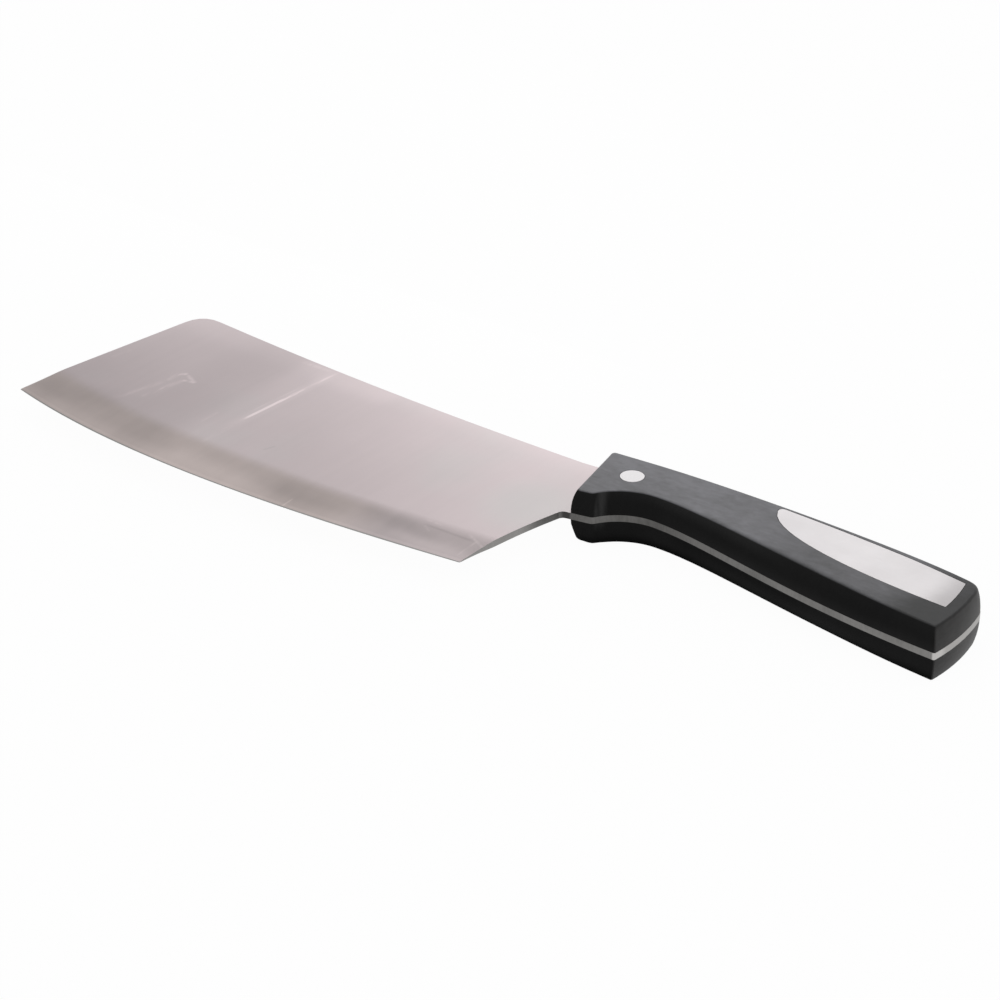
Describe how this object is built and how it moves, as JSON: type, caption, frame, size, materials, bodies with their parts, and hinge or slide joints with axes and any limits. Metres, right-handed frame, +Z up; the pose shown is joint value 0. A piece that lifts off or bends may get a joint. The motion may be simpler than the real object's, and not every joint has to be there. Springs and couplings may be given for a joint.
{
  "type": "chopper knife",
  "caption": "Wide-bladed kitchen chopper: ground blade with a full tang, crowned handle scales riveted through it, and a flush steel plate let into each scale.",
  "frame": {"origin": "middle of the outline on the plane that the lower face of the handle rests on", "axes": "+X from the tip to the butt, +Y from the cutting edge to the spine, +Z up through the thickness"},
  "size_m": [0.3056, 0.0812, 0.0168],
  "materials": {
    "blade_steel": "satin, ground across the blade",
    "handle_black": "smooth moulded black with a soft sheen",
    "plate_steel": "fine satin, nearly polished",
    "rivet_steel": "ground flush and polished"
  },
  "bodies": {
    "root": {"blade": "blade_steel", "upper_scale": "handle_black", "lower_scale": "handle_black", "upper_plate": "plate_steel", "lower_plate": "plate_steel", "front_rivet_stud": "rivet_steel", "front_rivet_socket": "rivet_steel", "middle_rivet_stud": "rivet_steel", "middle_rivet_socket": "rivet_steel", "rear_rivet_stud": "rivet_steel", "rear_rivet_socket": "rivet_steel"}
  },
  "joints": []
}
